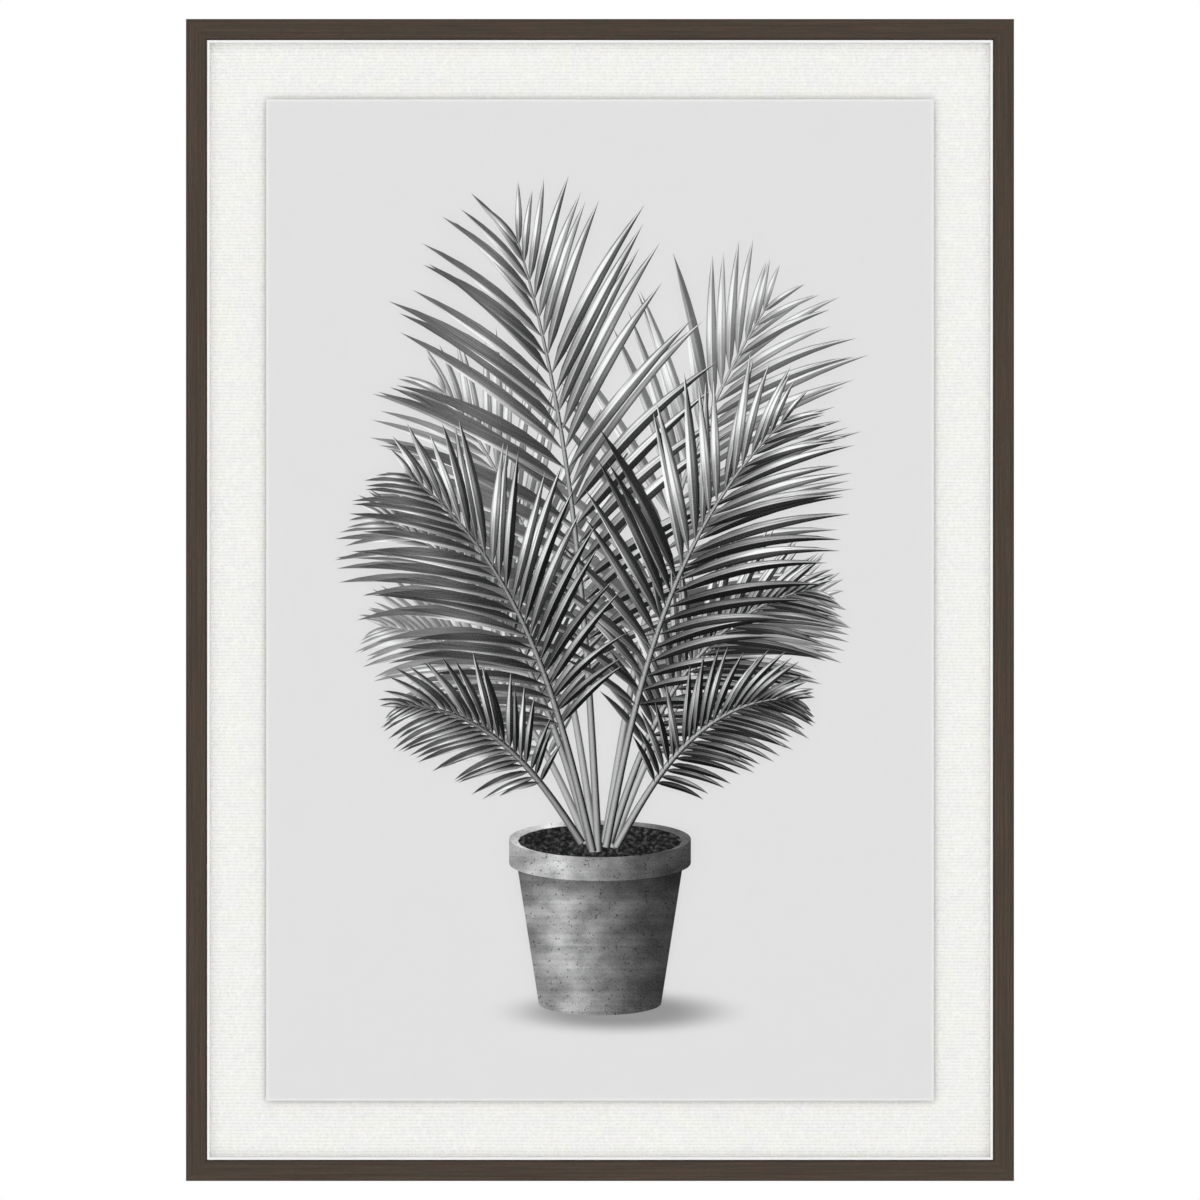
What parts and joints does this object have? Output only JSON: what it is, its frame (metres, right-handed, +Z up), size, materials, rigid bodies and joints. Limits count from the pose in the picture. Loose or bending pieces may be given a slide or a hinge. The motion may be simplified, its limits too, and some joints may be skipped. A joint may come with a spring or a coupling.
{
  "type": "framed wall print",
  "caption": "Portrait wall print floated on a linen mount behind clear acrylic in a slim mitred dark wood frame, with sawtooth hangers and bumpers on its papered back.",
  "frame": {"origin": "on the wall plane, midway between the two sawtooth hangers and level with the roots of their teeth, where the wall nails bear; 9.5 mm below the frame's top edge", "axes": "+Z up, +X to the right as the viewer sees the front, +Y into the wall; the picture faces -Y"},
  "size_m": [0.7556, 0.0331, 1.0605],
  "materials": {
    "stained_wood": "satin",
    "white_fillet": "matte",
    "spacer_plastic": "matte",
    "clear_acrylic": "polished",
    "print_paper": "matte",
    "foam_board": "matte",
    "woven_linen": "matte",
    "rag_board": "matte",
    "corrugated_card": "matte",
    "kraft_paper": "matte",
    "zinc_plated_steel": "satin",
    "brass_plated_steel": "satin",
    "bumper_rubber": "matte"
  },
  "bodies": {
    "root": {"rail_top": "stained_wood", "rail_bottom": "stained_wood", "rail_left": "stained_wood", "rail_right": "stained_wood", "fillet_top": "white_fillet", "fillet_bottom": "white_fillet", "fillet_left": "white_fillet", "fillet_right": "white_fillet", "spacer_top": "spacer_plastic", "spacer_bottom": "spacer_plastic", "spacer_left": "spacer_plastic", "spacer_right": "spacer_plastic", "glazing": "clear_acrylic", "print_sheet": "print_paper", "riser_board": "foam_board", "linen_cover": "woven_linen", "mount_board": "rag_board", "backing_board": "corrugated_card", "dust_cover": "kraft_paper", "framers_point_01": "zinc_plated_steel", "framers_point_02": "zinc_plated_steel", "framers_point_03": "zinc_plated_steel", "framers_point_04": "zinc_plated_steel", "framers_point_05": "zinc_plated_steel", "framers_point_06": "zinc_plated_steel", "framers_point_07": "zinc_plated_steel", "framers_point_08": "zinc_plated_steel", "framers_point_09": "zinc_plated_steel", "framers_point_10": "zinc_plated_steel", "framers_point_11": "zinc_plated_steel", "framers_point_12": "zinc_plated_steel", "sawtooth_hanger_left": "brass_plated_steel", "sawtooth_hanger_right": "brass_plated_steel", "nail_head_left_outer": "brass_plated_steel", "nail_head_left_inner": "brass_plated_steel", "nail_head_right_outer": "brass_plated_steel", "nail_head_right_inner": "brass_plated_steel", "bumper_left": "bumper_rubber", "bumper_right": "bumper_rubber"}
  },
  "joints": []
}
